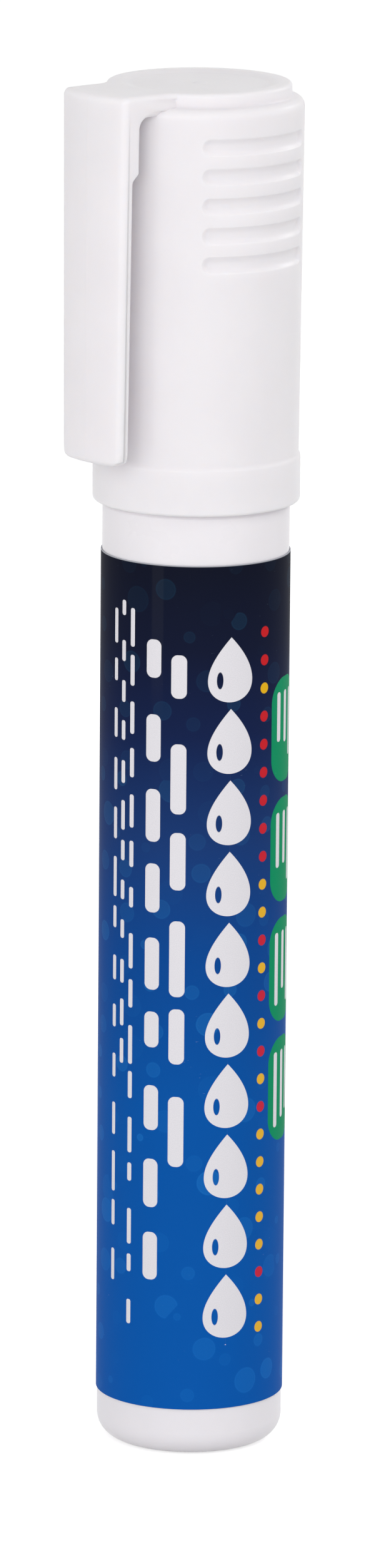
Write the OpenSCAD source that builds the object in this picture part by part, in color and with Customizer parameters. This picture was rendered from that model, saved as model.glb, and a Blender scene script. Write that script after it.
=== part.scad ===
// Valve-action stain remover pen, standing on its base with the cap on.
// The origin is the centre of the base face, +Z runs up the pen and the clip faces -Y.

/* [Barrel] */
// Outer diameter of the barrel
barrel_d = 17.0; // [15:0.5:20]
// Wall of the barrel round the reservoir
barrel_wall = 1.5; // [1.2:0.1:1.8]
// Thickness of the barrel's closed floor
barrel_floor = 1.6; // [1.2:0.1:3]
// Radius that rounds the bottom edge
base_round = 2.1; // [1:0.1:3]
// Height of the shoulder that the cap stops on
shoulder_h = 91.0; // [86:1:110]
// Length of the neck above the shoulder
neck_len = 8.0; // [7:0.5:11]
// Step in radius from the barrel to its neck
neck_step = 0.7; // [0.65:0.05:0.8]

/* [Label] */
// Bare barrel below the wrap label
label_bottom = 4.6; // [3.5:0.1:8]
// Bare barrel between the label and the cap's rim
white_band = 4.6; // [3:0.1:10]
// Thickness of the label film
label_t = 0.08; // [0.05:0.01:0.12]
// Gap between the label's two edges at its seam
label_seam = 0.4; // [0.2:0.1:1]

/* [Cap] */
// Length of the cap from its rim to its top
cap_len = 38.1; // [36:0.5:46]
// How far the cap's rim reaches below the barrel's shoulder
cap_overlap = 3.1; // [2:0.1:4]
// Step in radius where the barrel goes into the cap's rim
rim_step = 0.2; // [0.1:0.05:0.3]
// Height of the reveal between that step and the cap's rim
rim_reveal = 0.3; // [0.1:0.05:0.5]
// Wall of the cap's rim round the barrel
rim_wall = 1.03; // [0.9:0.01:1.3]
// Height of the collar round the cap's rim
collar_h = 4.3; // [3:0.1:6]
// How far the collar stands proud of the cap
collar_proud = 0.16; // [0.1:0.02:0.3]
// Growth of the cap's radius from its collar up to its shoulder
cap_flare = 0.25; // [0.05:0.05:0.5]
// Radius that rounds the cap's shoulder
cap_round = 1.1; // [0.6:0.1:1.1]
// Step in radius from the cap to its raised top
plateau_step = 1.15; // [1.15:0.05:1.4]
// Height of the raised top above the shoulder
plateau_h = 1.3; // [0.8:0.1:2]
// Width of the flat ring round the dish in the raised top
dish_rim = 1.25; // [0.8:0.05:2]
// Depth of that dish
dish_depth = 0.25; // [0.1:0.05:0.5]
// Thickness of the cap's roof under the dish
roof_t = 1.4; // [1:0.1:2]

/* [Clip] */
// Width of the clip where it leaves the cap's top
clip_w = 8.9; // [6:0.1:10]
// Width of the clip at its lower end
clip_w_end = 8.1; // [5:0.1:9]
// Thickness of the clip's long leaf
clip_t = 1.2; // [0.8:0.1:1.6]
// Thickness of the clip's thicker root
root_t = 1.85; // [1.6:0.05:2.2]
// Length of that root, down from the top
root_len = 7.7; // [5:0.1:12]
// Distance from the cap's widest radius to the clip's outer face
clip_stand = 3.55; // [3.2:0.05:4.5]
// Thickness of the bridge that carries the clip
bridge_t = 2.0; // [1.5:0.1:2.6]
// Radius under the bridge where it turns into the clip
arch_r = 1.0; // [0.5:0.1:1.3]
// Gap between the clip's end and the top of the collar
clip_end_gap = 0.4; // [0.2:0.1:2]
// Radius that rounds the clip's two lower corners
clip_corner = 0.9; // [0.4:0.1:1.5]

/* [Grip grooves] */
// Number of grooves on each side of the cap
groove_count = 5; // [2:1:8]
// Distance from one groove to the next
groove_pitch = 2.65; // [2.2:0.05:3.2]
// Width of a groove
groove_w = 1.9; // [1.2:0.1:2]
// Depth of a groove
groove_depth = 0.3; // [0.15:0.05:0.4]
// Angle that each groove spans round the cap
groove_arc = 76; // [40:1:90]
// Distance from the cap's shoulder down to the first groove
groove_top = 3.55; // [2.5:0.05:6]

/* [Nib] */
// Diameter of the felt nib
nib_d = 5.0; // [4:0.1:5.4]
// Length of nib that stands out of the nozzle
nib_out = 5.2; // [3:0.1:6]
// Travel of the nib when it is pressed
nib_travel = 1.8; // [1:0.1:2.2]

/* [Nib holder] */
// Length of the skirt that plugs into the barrel's mouth
skirt_len = 6.0; // [4:0.5:7]
// Wall of that skirt
skirt_wall = 0.9; // [0.7:0.05:1]
// Thickness of the flange that sits on the barrel's mouth
flange_t = 1.2; // [0.8:0.1:2]
// Length of the cone above the flange
cone_len = 6.8; // [4:0.1:8]
// Outer diameter of the nozzle
nozzle_d = 8.6; // [7.4:0.1:9]
// Length of the nozzle
nozzle_len = 5.5; // [4:0.1:7]

/* [Valve] */
// Outer diameter of the valve's tube
valve_d = 9.2; // [8.6:0.1:9.6]
// Wall of the valve's tube
valve_wall = 0.8; // [0.6:0.05:1]
// Length of the valve's tube below its flange
valve_len = 14.4; // [12.5:0.1:18]
// Thickness of the valve's flange
valve_flange_t = 1.2; // [0.8:0.1:1.6]
// Distance from the flange's underside down to the seat plate
plate_drop = 2.2; // [1.6:0.1:2.4]
// Thickness of the seat plate
plate_t = 1.0; // [0.7:0.1:1.6]
// Diameter of the stem's pin
pin_d = 2.6; // [2:0.1:3]
// Diameter of the stem's sealing disc
disc_d = 6.6; // [6:0.1:6.8]
// Thickness of the stem's sealing disc
disc_t = 1.1; // [0.8:0.1:1.6]
// Thickness of the soft seat washer
seat_t = 0.8; // [0.5:0.1:1]
// Length of the stem's tail inside the spring
tail_len = 4.8; // [3:0.1:5]
// Diameter of the stem's tail
tail_d = 2.4; // [1.6:0.1:2.6]
// Thickness of the spring's retainer
retainer_t = 0.9; // [0.7:0.1:1.2]
// Number of bleed holes in the retainer
bleed_count = 4; // [3:1:5]
// Diameter of a bleed hole
bleed_d = 1.1; // [0.8:0.1:1.2]

/* [Spring] */
// Outer diameter of the spring
spring_d = 5.2; // [4.8:0.1:5.6]
// Diameter of the spring's wire
wire_d = 0.45; // [0.3:0.05:0.5]
// Number of coils
coils = 7; // [5:1:7]

/* [Mixing balls] */
// Diameter of a mixing ball
ball_d = 5.0; // [3:0.1:5.4]
// Gap between the two balls
ball_gap = 0.6; // [0.3:0.1:1]

/* [Cap liner] */
// Wall of the liner's sealing tube
liner_wall = 0.9; // [0.6:0.05:1.2]
// Thickness of the liner's disc
liner_disc_t = 1.0; // [0.7:0.1:1.4]

/* [Clearances] */
// Radial gap between fixed pieces that plug together
fit_gap = 0.03; // [0.02:0.01:0.05]
// Radial gap between pieces that slide
slide_gap = 0.08; // [0.05:0.01:0.1]
// Gap between flat faces that meet and part
face_gap = 0.02; // [0.01:0.01:0.05]

/* [Hidden] */

$fn = 96;
white = [0.93, 0.93, 0.94];

// Barrel
barrel_r = barrel_d / 2;
cavity_r = barrel_r - barrel_wall;
cavity_round = base_round * 0.6;
neck_r = barrel_r - neck_step;
neck_top = shoulder_h + neck_len;
edge = 0.15;
bead_proud = 0.1;
bead_w = 1.2;
bead_z = shoulder_h + neck_len / 2;

// Cap
rim_z = shoulder_h - cap_overlap;
cap_top = rim_z + cap_len;
cap_shoulder = cap_top - plateau_h;
collar_top = rim_z + collar_h;
rim_neck_r = barrel_r - rim_step;
rim_bore_r = rim_neck_r + slide_gap;
collar_r = rim_bore_r + rim_wall;
cap_r_low = collar_r - collar_proud;
cap_r_top = cap_r_low + cap_flare;
plateau_r = cap_r_top - plateau_step;
rim_round = 0.3;
plateau_round = 0.35;
dish_r = plateau_r - dish_rim;
dish_slope = 0.7;
nub_r = 0.6;
nub_h = 0.2;
cap_bore_r = neck_r + bead_proud + slide_gap;
roof_z = cap_top - dish_depth - roof_t;
roof_r = min(plateau_r - roof_t, cap_bore_r - 0.3);
roof_chamfer = cap_bore_r - roof_r;

// Label
label_r = barrel_r + fit_gap;
label_top = rim_z - white_band;

// Clip
clip_out_r = cap_r_top + clip_stand;
clip_in_r = clip_out_r - clip_t;
root_in_r = clip_out_r - root_t;
root_z = cap_top - root_len;
clip_z = collar_top + clip_end_gap;
bridge_z = cap_top - bridge_t;
clip_edge = 0.4;

// Grooves are cut by a ring of this radius
groove_r = (pow(groove_w / 2, 2) + pow(groove_depth, 2)) / (2 * groove_depth);

// Nib holder
skirt_r = cavity_r - fit_gap;
skirt_in_r = skirt_r - skirt_wall;
flange_top = neck_top + flange_t;
ledge_z = neck_top + flange_t / 2;
ledge_w = 0.6;
cone_wall = 1.2;
nozzle_r = nozzle_d / 2;
nozzle_z = flange_top + cone_len;
nozzle_top = nozzle_z + nozzle_len;
nozzle_round = 0.5;
cone_r = skirt_r;
nib_r = nib_d / 2;
nib_bore_r = nib_r + slide_gap;
cone_in_r = nib_bore_r + 0.8;

// Valve
valve_r = valve_d / 2;
valve_in_r = valve_r - valve_wall;
valve_flange_r = skirt_in_r - fit_gap;
valve_flange_z = ledge_z - valve_flange_t;
plate_top = valve_flange_z - plate_drop;
plate_z = plate_top - plate_t;
valve_z = valve_flange_z - valve_len;
socket_len = 2.4;
socket_r = nib_bore_r + 0.7;
pin_r = pin_d / 2;
pin_hole_r = pin_r + 0.45;
seat_z = plate_z - seat_t;
seat_in_r = pin_hole_r + 0.25;
disc_z = seat_z - disc_t;
press_room = 0.4;
nib_z = plate_top + nib_travel + press_room;
nib_top = nozzle_top + nib_out;
retainer_r = valve_in_r - fit_gap;
retainer_z = valve_z + 0.4;
retainer_top = retainer_z + retainer_t;
boss_h = 0.8;
boss_r = spring_d / 2 - wire_d - 0.2;
boss_in_r = tail_d / 2 + 0.2;
bleed_ring_r = (boss_r + retainer_r) / 2;

// Spring
spring_low = retainer_top + wire_d / 2 + face_gap;
spring_high = disc_z - wire_d / 2 - face_gap;
helix_r = (spring_d - wire_d) / 2;
rings_per_coil = 8;
wire_sides = 6;
echo(spring_gap = (spring_high - spring_low) / coils - wire_d);
echo(spring_gap_when_pressed = (spring_high - spring_low - nib_travel) / coils - wire_d);

// Mixing balls
ball_r = ball_d / 2;
ball_x = ball_r + ball_gap / 2;
ball_z = barrel_floor + ball_r + face_gap;
echo(ball_travel = valve_z - face_gap - (ball_z + ball_r));

// Cap liner
liner_in_r = nozzle_r + slide_gap;
liner_out_r = liner_in_r + liner_wall;
liner_disc_r = roof_r - fit_gap;
liner_z = nozzle_z + 0.6;

// Points along an arc about a centre, in equal steps
function arc(centre, r, from, to, steps = 6) =
    [for (i = [0:steps]) let (a = from + (to - from) * i / steps) centre + r * [cos(a), sin(a)]];

// Radius of the cap's outside at a height between its collar and its shoulder
function cap_r(z) =
    cap_r_low + (cap_r_top - cap_r_low) * (z - collar_top) / (cap_shoulder - collar_top);

module barrel() {
    color(white) rotate_extrude() polygon(concat(
        [[0, 0]],
        arc([barrel_r - base_round, base_round], base_round, -90, 0),
        [[barrel_r, rim_z - rim_reveal], [rim_neck_r, rim_z - rim_reveal],
         [rim_neck_r, shoulder_h - edge], [rim_neck_r - edge, shoulder_h], [neck_r, shoulder_h],
         [neck_r, bead_z - bead_w / 2], [neck_r + bead_proud, bead_z - bead_w / 6],
         [neck_r + bead_proud, bead_z + bead_w / 6], [neck_r, bead_z + bead_w / 2],
         [neck_r, neck_top], [cavity_r, neck_top]],
        arc([cavity_r - cavity_round, barrel_floor + cavity_round], cavity_round, 0, -90),
        [[0, barrel_floor]]
    ));
}

// The wrap label, with its seam at the back
module label() {
    color([0.03, 0.16, 0.42]) difference() {
        rotate_extrude() translate([label_r, label_bottom])
            square([label_t, label_top - label_bottom]);
        translate([-label_seam / 2, 0, 0]) cube([label_seam, barrel_d, shoulder_h]);
    }
}

// The front section that plugs into the barrel's mouth and guides the nib
module nib_holder() {
    color(white) rotate_extrude() polygon(concat(
        [[skirt_in_r, neck_top - skirt_len], [skirt_r, neck_top - skirt_len],
         [skirt_r, neck_top], [neck_r - face_gap, neck_top],
         [neck_r - face_gap, flange_top - edge], [neck_r - edge, flange_top],
         [cone_r, flange_top], [nozzle_r, nozzle_z]],
        arc([nozzle_r - nozzle_round, nozzle_top - nozzle_round], nozzle_round, 0, 90),
        [[nib_bore_r, nozzle_top], [nib_bore_r, nozzle_z + cone_wall],
         [cone_in_r, nozzle_z], [cone_r - cone_wall * 2, flange_top + cone_wall],
         [skirt_in_r - ledge_w, ledge_z], [skirt_in_r, ledge_z]]
    ));
}

// The felt nib, a rod with a domed tip
module nib() {
    tip_r = nib_r * 0.42;
    tip_len = nib_out * 0.6;
    color([0.86, 0.88, 0.84]) rotate_extrude() polygon(concat(
        [[0, nib_z], [nib_r - 0.2, nib_z], [nib_r, nib_z + 0.2], [nib_r, nib_top - tip_len]],
        arc([0, nib_top - tip_r], tip_r, 25, 90),
        [[0, nib_top]]
    ));
}

// The valve's tube: a socket for the nib above a seat plate, and a chamber below it
module valve_body() {
    color([0.9, 0.92, 0.94]) rotate_extrude() polygon([
        [valve_in_r, valve_z], [valve_r, valve_z], [valve_r, valve_flange_z],
        [valve_flange_r, valve_flange_z], [valve_flange_r, ledge_z - face_gap],
        [socket_r, ledge_z - face_gap], [socket_r, ledge_z + socket_len],
        [nib_bore_r, ledge_z + socket_len], [nib_bore_r, plate_top],
        [pin_hole_r, plate_top], [pin_hole_r, plate_z], [valve_in_r, plate_z]
    ]);
}

// The soft washer under the seat plate
module valve_seat() {
    color([0.2, 0.2, 0.22]) rotate_extrude() translate([seat_in_r, seat_z])
        square([valve_in_r - fit_gap - seat_in_r, seat_t]);
}

// The stem: a pin that the nib pushes, a sealing disc and a tail inside the spring
module valve_stem() {
    tail_z = disc_z - tail_len;
    color([0.9, 0.92, 0.94]) rotate_extrude() polygon([
        [0, tail_z], [tail_d / 2 - 0.3, tail_z], [tail_d / 2, tail_z + 0.3], [tail_d / 2, disc_z],
        [disc_d / 2, disc_z], [disc_d / 2, seat_z - face_gap], [pin_r, seat_z - face_gap],
        [pin_r, nib_z], [0, nib_z]
    ]);
}

// The retainer snapped into the tube's lower end, with bleed holes for the fluid
module spring_retainer() {
    color([0.9, 0.92, 0.94]) difference() {
        rotate_extrude() polygon([
            [boss_in_r, retainer_z], [retainer_r, retainer_z], [retainer_r, retainer_top],
            [boss_r, retainer_top], [boss_r, retainer_top + boss_h],
            [boss_in_r, retainer_top + boss_h]
        ]);
        for (i = [0:bleed_count - 1])
            rotate([0, 0, i * 360 / bleed_count]) translate([bleed_ring_r, 0, retainer_z - 1])
                cylinder(d = bleed_d, h = retainer_t + 2, $fn = 24);
    }
}

// The spring: one tube along a helix, a ring of wire_sides points at each step
module valve_spring() {
    steps = coils * rings_per_coil;
    function centre_z(i) = spring_low + (spring_high - spring_low) * i / steps;
    function ring(i) = let (turn = 360 * i / rings_per_coil)
        [for (k = [0:wire_sides - 1])
            let (a = 360 * k / wire_sides, r = helix_r + wire_d / 2 * cos(a))
            [r * cos(turn), r * sin(turn), centre_z(i) + wire_d / 2 * sin(a)]];
    points = [for (i = [0:steps]) each ring(i)];
    sides = [for (i = [0:steps - 1], k = [0:wire_sides - 1])
        let (next = (k + 1) % wire_sides, low = i * wire_sides, high = low + wire_sides)
        each [[low + k, low + next, high + next], [low + k, high + next, high + k]]];
    first = [for (k = [1:wire_sides - 2]) [0, k + 1, k]];
    last = [for (k = [1:wire_sides - 2]) let (n = steps * wire_sides) [n, n + k, n + k + 1]];
    color([0.7, 0.71, 0.73]) polyhedron(points, concat(sides, first, last));
}

// A steel ball that stirs the fluid when the pen is shaken, side = -1 or 1
module mixing_ball(side) {
    color([0.72, 0.73, 0.75]) translate([side * ball_x, 0, ball_z]) sphere(r = ball_r);
}

// The cap's outside without its clip
module cap_outside() {
    rotate_extrude() polygon(concat(
        [[0, rim_z], [collar_r - rim_round, rim_z], [collar_r, rim_z + rim_round],
         [collar_r, collar_top - collar_proud], [cap_r_low, collar_top]],
        arc([cap_r_top - cap_round, cap_shoulder - cap_round], cap_round, 0, 90),
        [[plateau_r, cap_shoulder]],
        arc([plateau_r - plateau_round, cap_top - plateau_round], plateau_round, 0, 90),
        [[dish_r, cap_top], [dish_r - dish_slope, cap_top - dish_depth],
         [nub_r, cap_top - dish_depth], [nub_r / 2, cap_top - dish_depth + nub_h],
         [0, cap_top - dish_depth + nub_h]]
    ));
}

// The cap's inside: a wider rim that takes the barrel, a bore for the neck and a roof pocket
module cap_inside() {
    rotate_extrude() polygon([
        [0, rim_z - 1], [rim_bore_r, rim_z - 1], [rim_bore_r, shoulder_h + face_gap],
        [cap_bore_r, shoulder_h + face_gap], [cap_bore_r, roof_z - liner_disc_t - roof_chamfer],
        [roof_r, roof_z - liner_disc_t], [roof_r, roof_z], [0, roof_z]
    ]);
}

// The clip: a leaf on the same centre as the cap, trimmed to its tapered front outline
module clip() {
    half_top = clip_w / 2;
    half_end = clip_w_end / 2;
    root_step = root_t - clip_t;
    leaf_edge = min(clip_edge, clip_t / 3);
    start_r = (dish_r + plateau_r) / 2;
    intersection() {
        rotate_extrude() polygon(concat(
            [[start_r, bridge_z]],
            arc([root_in_r - arch_r, bridge_z - arch_r], arch_r, 90, 0),
            [[root_in_r, root_z + root_step], [clip_in_r, root_z]],
            arc([clip_in_r + leaf_edge, clip_z + leaf_edge], leaf_edge, 180, 270, 3),
            arc([clip_out_r - leaf_edge, clip_z + leaf_edge], leaf_edge, 270, 360, 3),
            arc([clip_out_r - clip_edge, cap_top - clip_edge], clip_edge, 0, 90, 3),
            [[start_r, cap_top]]
        ));
        translate([0, -start_r * cos(asin(half_top / start_r)), 0]) rotate([90, 0, 0])
            linear_extrude(height = clip_out_r) polygon(concat(
                [[-half_top, cap_top + 1]],
                arc([-half_end + clip_corner, clip_z + clip_corner], clip_corner, 180, 270),
                arc([half_end - clip_corner, clip_z + clip_corner], clip_corner, 270, 360),
                [[half_top, cap_top + 1]]
            ));
    }
}

// One side's grip grooves, each cut by a ring segment
module grooves() {
    for (i = [0:groove_count - 1]) {
        z = cap_shoulder - groove_top - i * groove_pitch;
        r = cap_r(z) + groove_r - groove_depth;
        translate([0, 0, z]) rotate([0, 0, -groove_arc / 2])
            rotate_extrude(angle = groove_arc) translate([r, 0]) circle(r = groove_r, $fn = 48);
    }
}

module cap() {
    color(white) difference() {
        union() {
            cap_outside();
            clip();
        }
        cap_inside();
        grooves();
        rotate([0, 0, 180]) grooves();
    }
}

// The soft inner seal, whose tube closes round the nozzle
module cap_liner() {
    color([0.9, 0.92, 0.94]) rotate_extrude() polygon([
        [liner_in_r, liner_z], [liner_out_r, liner_z], [liner_out_r, roof_z - liner_disc_t],
        [liner_disc_r, roof_z - liner_disc_t], [liner_disc_r, roof_z], [0, roof_z],
        [0, roof_z - liner_disc_t], [liner_in_r, roof_z - liner_disc_t]
    ]);
}

barrel();
label();
nib_holder();
nib();
valve_body();
valve_seat();
valve_stem();
valve_spring();
spring_retainer();
mixing_ball(-1);  // mixing_ball_1
mixing_ball(1);  // mixing_ball_2
cap();
cap_liner();
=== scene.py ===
import bpy
import numpy as np
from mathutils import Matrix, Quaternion, Vector


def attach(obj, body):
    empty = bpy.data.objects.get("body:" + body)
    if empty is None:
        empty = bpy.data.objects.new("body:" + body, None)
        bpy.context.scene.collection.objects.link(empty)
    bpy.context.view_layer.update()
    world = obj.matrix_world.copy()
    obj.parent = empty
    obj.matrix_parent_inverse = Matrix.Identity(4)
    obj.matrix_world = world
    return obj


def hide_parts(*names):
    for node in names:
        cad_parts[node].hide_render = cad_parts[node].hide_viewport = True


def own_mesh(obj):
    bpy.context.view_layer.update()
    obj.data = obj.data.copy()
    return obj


# A valve-action stain remover pen, dressed for a studio picture. Sizes in the dictionaries are mm.
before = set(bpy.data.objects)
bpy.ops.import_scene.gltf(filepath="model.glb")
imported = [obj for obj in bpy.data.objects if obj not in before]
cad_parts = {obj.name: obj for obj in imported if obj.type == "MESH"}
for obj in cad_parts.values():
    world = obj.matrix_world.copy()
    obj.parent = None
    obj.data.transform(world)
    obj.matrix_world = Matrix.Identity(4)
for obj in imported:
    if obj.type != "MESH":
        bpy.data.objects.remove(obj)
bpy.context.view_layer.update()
scene = bpy.context.scene
scene.view_settings.view_transform = "Standard"
mm = 0.001
drawing = {  # an arc's radians a step and fewest points; the rows beside it stand off by hold in mm, or by a share
    # of the spare line if that is less; and the r that counts as 0
    "arcStep": 0.2, "fewestPoints": 4, "hold": 0.08, "holdShare": 0.4, "onAxis": 1e-6,
}
print("stage 1: frame loaded with", len(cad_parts), "nodes")


# Shapes
def makeMesh(name, points, faces):
    # One mesh from an array of points in mm and a list of index arrays, each n faces by k corners.
    mesh = bpy.data.meshes.new(name)
    points = np.asarray(points, np.float32) * mm
    loops = np.concatenate([f.ravel() for f in faces]).astype(np.int32)
    sizes = np.concatenate([np.full(len(f), f.shape[1]) for f in faces])
    starts = np.concatenate([[0], np.cumsum(sizes)[:-1]]).astype(np.int32)
    mesh.vertices.add(len(points))
    mesh.vertices.foreach_set("co", points.ravel())
    mesh.loops.add(len(loops))
    mesh.loops.foreach_set("vertex_index", loops)
    mesh.polygons.add(len(sizes))
    mesh.polygons.foreach_set("loop_start", starts)
    mesh.update(calc_edges=True)
    mesh.polygons.foreach_set("use_smooth", np.ones(len(sizes), bool))
    piece = bpy.data.objects.new(name, mesh)
    scene.collection.objects.link(piece)
    return piece


def gridFaces(rows, columns, closeRows=False, closeColumns=False, first=0):
    # Quads between neighbours of a rows by columns grid of points; a closed side joins its last to its first.
    i = np.arange(rows if closeRows else rows - 1)[:, None]
    j = np.arange(columns if closeColumns else columns - 1)[None, :]
    nextI, nextJ = (i + 1) % rows, (j + 1) % columns
    corners = [i * columns + j, i * columns + nextJ, nextI * columns + nextJ, nextI * columns + j]
    return np.stack([np.broadcast_to(c, (i.size, j.size)) for c in corners], -1).reshape(-1, 4) + first


def roundedPath(corners, closed=False, step=None):
    # Points along straight lines through (x, y, radius) corners, each corner swapped for an arc that touches
    # both lines: an arc starts radius * tan(turn / 2) before its corner. A step, given as a function of the
    # place, cuts the lines up.
    spots = np.array([corner[:2] for corner in corners], float)
    radii = np.array([corner[2] for corner in corners], float)
    run = np.roll(spots, -1, 0) - spots
    lengths = np.linalg.norm(run, axis=1)
    run /= lengths[:, None]
    before = np.roll(run, 1, 0)
    turn = np.arccos(np.clip((before * run).sum(1), -1, 1))
    if not closed:
        radii[[0, -1]] = 0
    reach = radii * np.tan(turn / 2)
    spare = np.maximum(lengths - reach - np.roll(reach, -1), 0)
    path = []
    for k, radius in enumerate(radii):
        if radius <= 0 or turn[k] < 1e-4:
            path.append(spots[k:k + 1])
            continue
        start, end = spots[k] - before[k] * reach[k], spots[k] + run[k] * reach[k]
        side = run[k] - before[k] * (before[k] @ run[k])
        side /= np.linalg.norm(side)
        count = max(drawing["fewestPoints"], int(np.ceil(turn[k] / drawing["arcStep"])) + 1)
        angles = np.linspace(0, turn[k], count)[:, None]
        arc = start + radius * (np.sin(angles) * before[k] + (1 - np.cos(angles)) * side)
        # a row beside each arc keeps the flats flat under smooth shading
        hold = min(drawing["hold"], radius)
        path.append(start[None] - before[k] * min(hold, drawing["holdShare"] * spare[k - 1]))
        path.append(arc)
        path.append(end[None] + run[k] * min(hold, drawing["holdShare"] * spare[k]))
    path = np.concatenate(path)
    if step is not None:
        loop = np.concatenate([path, path[:1]]) if closed else path
        pieces = []
        for a, b in zip(loop[:-1], loop[1:]):
            cuts = max(1, int(np.ceil(np.linalg.norm(b - a) / step((a + b) / 2))))
            pieces.append(a + (b - a) * (np.arange(cuts) / cuts)[:, None])
        path = np.concatenate(pieces + ([] if closed else [loop[-1:]]))
    return path


def aroundAxis(profile, angles):
    # A profile of (r, z) repeated at every angle about Z: x = r cos a, y = r sin a.
    return np.stack([profile[:, :1] * np.cos(angles), profile[:, :1] * np.sin(angles),
                     np.repeat(profile[:, 1:], len(angles), 1)], -1)


def turned(path, angles, shift=None):
    # A profile of (r, z) turned about Z: x = r cos a, y = r sin a. Rows whose r is 0 become one shared point.
    radius = np.repeat(path[:, :1], len(angles), 1)
    height = np.repeat(path[:, 1:], len(angles), 1)
    if shift is not None:
        radius, height = shift(radius, height, angles[None, :])
    points = np.stack([radius * np.cos(angles), radius * np.sin(angles), height], -1)
    ring = len(angles)
    topPole, lowPole = path[0, 0] < drawing["onAxis"], path[-1, 0] < drawing["onAxis"]
    first = int(topPole)
    body = points[first:len(points) - int(lowPole)]
    flat = [body.reshape(-1, 3)]
    faces = [gridFaces(len(body), ring, closeColumns=True, first=first)[:, ::-1]]
    j = np.arange(ring)
    if topPole:
        flat.insert(0, points[0, :1])
        faces.append(np.stack([np.zeros(ring, int), first + j, first + (j + 1) % ring], -1))
    if lowPole:
        last = first + len(body) * ring
        low = last - ring
        flat.append(points[-1, :1])
        faces.append(np.stack([np.full(ring, last), low + (j + 1) % ring, low + j], -1))
    return np.concatenate(flat), faces


def faceOutward(piece):
    # Flips every face if the closed mesh's signed volume is below zero.
    mesh = piece.data
    mesh.calc_loop_triangles()
    co = np.empty(len(mesh.vertices) * 3, np.float32)
    tri = np.empty(len(mesh.loop_triangles) * 3, np.int32)
    mesh.vertices.foreach_get("co", co)
    mesh.loop_triangles.foreach_get("vertices", tri)
    a, b, c = co.reshape(-1, 3)[tri.reshape(-1, 3)].transpose(1, 0, 2).astype(float)
    if np.einsum("ij,ij->i", a, np.cross(b, c)).sum() < 0:
        mesh.flip_normals()
    return piece


def finishPiece(piece, material, body, slot, *nodes):
    # Faces outward, one material, then its body and the CAD nodes that it replaces. The slot is not used.
    faceOutward(piece)
    piece.data.materials.append(material)
    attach(piece, body)
    if nodes:
        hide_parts(*nodes)
    return piece


# Node helpers
class nodeKit:
    # Short calls for one node tree: add a node, do maths, map a span, mix colours, place noise and bumps.

    def __init__(self, tree):
        self.tree = tree

    def add(self, kind, values=None, **settings):
        node = self.tree.nodes.new(kind)
        for key, value in settings.items():
            setattr(node, key, value)
        for key, value in (values or {}).items():
            self.put(node.inputs[key], value)
        return node

    def put(self, socket, value):
        if isinstance(value, bpy.types.NodeSocket):
            self.tree.links.new(value, socket)
        else:
            socket.default_value = value

    def maths(self, operation, a, b=0.0, c=0.0, clamp=False):
        node = self.add("ShaderNodeMath", operation=operation, use_clamp=clamp)
        for socket, value in zip(node.inputs, (a, b, c)):
            self.put(socket, value)
        return node.outputs[0]

    def span(self, value, low, high, outLow=0.0, outHigh=1.0, smooth=True):
        node = self.add("ShaderNodeMapRange", interpolation_type="SMOOTHSTEP" if smooth else "LINEAR")
        sockets = ("Value", "From Min", "From Max", "To Min", "To Max")
        for key, number in zip(sockets, (value, low, high, outLow, outHigh)):
            self.put(node.inputs[key], number)
        return node.outputs["Result"]

    def mix(self, factor, a, b, blend="MIX"):
        node = self.add("ShaderNodeMix", data_type="RGBA", blend_type=blend)
        self.put(node.inputs[0], factor)
        self.put(node.inputs[6], a)
        self.put(node.inputs[7], b)
        return node.outputs[2]

    def ramp(self, value, stops):
        node = self.add("ShaderNodeValToRGB")
        self.put(node.inputs[0], value)
        ramp = node.color_ramp
        ramp.elements[0].position, ramp.elements[0].color = stops[0][0], stops[0][1]
        ramp.elements[1].position, ramp.elements[1].color = stops[-1][0], stops[-1][1]
        for position, colour in stops[1:-1]:
            ramp.elements.new(position).color = colour
        return node.outputs[0]

    def noise(self, vector, scale, detail=3.0, roughness=0.55):
        node = self.add("ShaderNodeTexNoise", {"Scale": scale, "Detail": detail, "Roughness": roughness})
        self.put(node.inputs["Vector"], vector)
        return node.outputs["Fac"]

    def stretched(self, vector, scale, turn=(0.0, 0.0, 0.0)):
        node = self.add("ShaderNodeMapping", {"Scale": scale, "Rotation": turn})
        self.put(node.inputs["Vector"], vector)
        return node.outputs[0]

    def objectSpace(self):
        return self.add("ShaderNodeTexCoord").outputs["Object"]

    def bump(self, strength, depth, height):
        return self.add("ShaderNodeBump", {"Strength": strength, "Distance": depth, "Height": height}).outputs[0]


def newGroup(name, inputs, outputs):
    # A node group with typed sockets; returns its helper, its input node and its output node.
    tree = bpy.data.node_groups.new(name, "ShaderNodeTree")
    for socketName, kind, default in inputs:
        socket = tree.interface.new_socket(socketName, in_out="INPUT", socket_type=kind)
        if default is not None:
            socket.default_value = default
    for socketName, kind in outputs:
        tree.interface.new_socket(socketName, in_out="OUTPUT", socket_type=kind)
    n = nodeKit(tree)
    return n, n.add("NodeGroupInput"), n.add("NodeGroupOutput")


def srgb(red, green, blue):
    # A colour as 0-255 screen numbers, made linear for a shader.
    c = np.array([red, green, blue]) / 255
    c = np.where(c <= 0.04045, c / 12.92, ((c + 0.055) / 1.055) ** 2.4)
    return (float(c[0]), float(c[1]), float(c[2]), 1.0)


def newMaterial(name, **shaderValues):
    # A material with a Principled shader whose plain values are set straight on its sockets.
    material = bpy.data.materials.new(name)
    material.use_nodes = True
    n = nodeKit(material.node_tree)
    shader = material.node_tree.nodes["Principled BSDF"]
    for key, value in shaderValues.items():
        shader.inputs[key.replace("_", " ")].default_value = value
    return material, n, shader


def placed(n, group, **values):
    # A copy of a node group in this material, with its inputs filled in.
    node = n.add("ShaderNodeGroup")
    node.node_tree = group
    for key, value in values.items():
        n.put(node.inputs[key.replace("_", " ")], value)
    return node


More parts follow.
